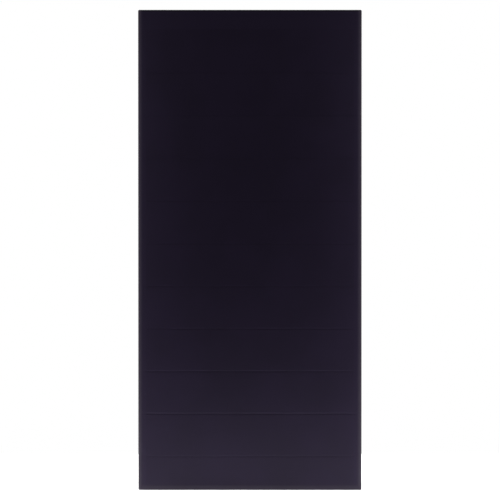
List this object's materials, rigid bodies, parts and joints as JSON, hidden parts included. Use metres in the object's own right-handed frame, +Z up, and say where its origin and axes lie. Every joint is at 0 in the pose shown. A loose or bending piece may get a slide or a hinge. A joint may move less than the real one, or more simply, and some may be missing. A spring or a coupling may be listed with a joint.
{
  "type": "flexible solar sheet",
  "caption": "Thin rectangular photovoltaic laminate with shingled dark cells under a clear film, which bends along its length, and a junction box on its back.",
  "frame": {"origin": "centre of the top strip's back face", "axes": "+X across the sheet, +Z up along it, +Y out of its back; the cells face -Y"},
  "size_m": [0.494, 0.018, 1.062],
  "materials": {
    "front_film": "clear satin fluoropolymer film",
    "cell_foil": "purple-black thin film on steel foil",
    "encapsulant": "translucent sealing layer, dark over the cells",
    "tinned_copper": "tinned, satin",
    "backsheet": "matt black weatherproof film",
    "adhesive_pad": "closed-cell foam tape",
    "box_plastic": "finely sparked moulding",
    "seal_rubber": "matt rubber",
    "terminal_metal": "nickel-plated brass",
    "screw_steel": "zinc-plated steel",
    "diode_body": "moulded epoxy"
  },
  "bodies": {
    "strip_01": {"front_film_01": "front_film", "cell_01": "cell_foil", "encapsulant_01": "encapsulant", "return_ribbon_01": "tinned_copper", "backsheet_01": "backsheet", "top_bus": "tinned_copper"},
    "strip_02": {"front_film_02": "front_film", "cell_02": "cell_foil", "encapsulant_02": "encapsulant", "return_ribbon_02": "tinned_copper", "backsheet_02": "backsheet"},
    "strip_03": {"front_film_03": "front_film", "cell_03": "cell_foil", "encapsulant_03": "encapsulant", "return_ribbon_03": "tinned_copper", "backsheet_03": "backsheet"},
    "strip_04": {"front_film_04": "front_film", "cell_04": "cell_foil", "encapsulant_04": "encapsulant", "return_ribbon_04": "tinned_copper", "backsheet_04": "backsheet"},
    "strip_05": {"front_film_05": "front_film", "cell_05": "cell_foil", "encapsulant_05": "encapsulant", "return_ribbon_05": "tinned_copper", "backsheet_05": "backsheet"},
    "strip_06": {"front_film_06": "front_film", "cell_06": "cell_foil", "encapsulant_06": "encapsulant", "return_ribbon_06": "tinned_copper", "backsheet_06": "backsheet"},
    "strip_07": {"front_film_07": "front_film", "cell_07": "cell_foil", "encapsulant_07": "encapsulant", "return_ribbon_07": "tinned_copper", "backsheet_07": "backsheet"},
    "strip_08": {"front_film_08": "front_film", "cell_08": "cell_foil", "encapsulant_08": "encapsulant", "return_ribbon_08": "tinned_copper", "backsheet_08": "backsheet"},
    "strip_09": {"front_film_09": "front_film", "cell_09": "cell_foil", "encapsulant_09": "encapsulant", "return_ribbon_09": "tinned_copper", "backsheet_09": "backsheet"},
    "strip_10": {"front_film_10": "front_film", "cell_10": "cell_foil", "encapsulant_10": "encapsulant", "return_ribbon_10": "tinned_copper", "backsheet_10": "backsheet", "bottom_bus": "tinned_copper", "box_pad": "adhesive_pad", "box_base": "box_plastic", "box_lid": "box_plastic", "lid_gasket": "seal_rubber", "lead_seals": "seal_rubber", "terminals": "terminal_metal", "terminal_screws": "screw_steel", "bypass_diode": "diode_body"}
  },
  "joints": [
    {"name": "flex_01", "type": "hinge", "parent": "strip_01", "child": "strip_02", "pos_m": [0, -0.0009, -0.0713], "axis": [1, 0, 0], "range_deg": [-21.5, 21.5], "stiffness_Nm_per_rad": 6},
    {"name": "flex_02", "type": "hinge", "parent": "strip_02", "child": "strip_03", "pos_m": [0, -0.0009, -0.1654], "axis": [1, 0, 0], "range_deg": [-21.5, 21.5], "stiffness_Nm_per_rad": 6},
    {"name": "flex_03", "type": "hinge", "parent": "strip_03", "child": "strip_04", "pos_m": [0, -0.0009, -0.2595], "axis": [1, 0, 0], "range_deg": [-21.5, 21.5], "stiffness_Nm_per_rad": 6},
    {"name": "flex_04", "type": "hinge", "parent": "strip_04", "child": "strip_05", "pos_m": [0, -0.0009, -0.3536], "axis": [1, 0, 0], "range_deg": [-21.5, 21.5], "stiffness_Nm_per_rad": 6},
    {"name": "flex_05", "type": "hinge", "parent": "strip_05", "child": "strip_06", "pos_m": [0, -0.0009, -0.4477], "axis": [1, 0, 0], "range_deg": [-21.5, 21.5], "stiffness_Nm_per_rad": 6},
    {"name": "flex_06", "type": "hinge", "parent": "strip_06", "child": "strip_07", "pos_m": [0, -0.0009, -0.5418], "axis": [1, 0, 0], "range_deg": [-21.5, 21.5], "stiffness_Nm_per_rad": 6},
    {"name": "flex_07", "type": "hinge", "parent": "strip_07", "child": "strip_08", "pos_m": [0, -0.0009, -0.6359], "axis": [1, 0, 0], "range_deg": [-21.5, 21.5], "stiffness_Nm_per_rad": 6},
    {"name": "flex_08", "type": "hinge", "parent": "strip_08", "child": "strip_09", "pos_m": [0, -0.0009, -0.73], "axis": [1, 0, 0], "range_deg": [-21.5, 21.5], "stiffness_Nm_per_rad": 6},
    {"name": "flex_09", "type": "hinge", "parent": "strip_09", "child": "strip_10", "pos_m": [0, -0.0009, -0.8241], "axis": [1, 0, 0], "range_deg": [-21.5, 21.5], "stiffness_Nm_per_rad": 6}
  ]
}
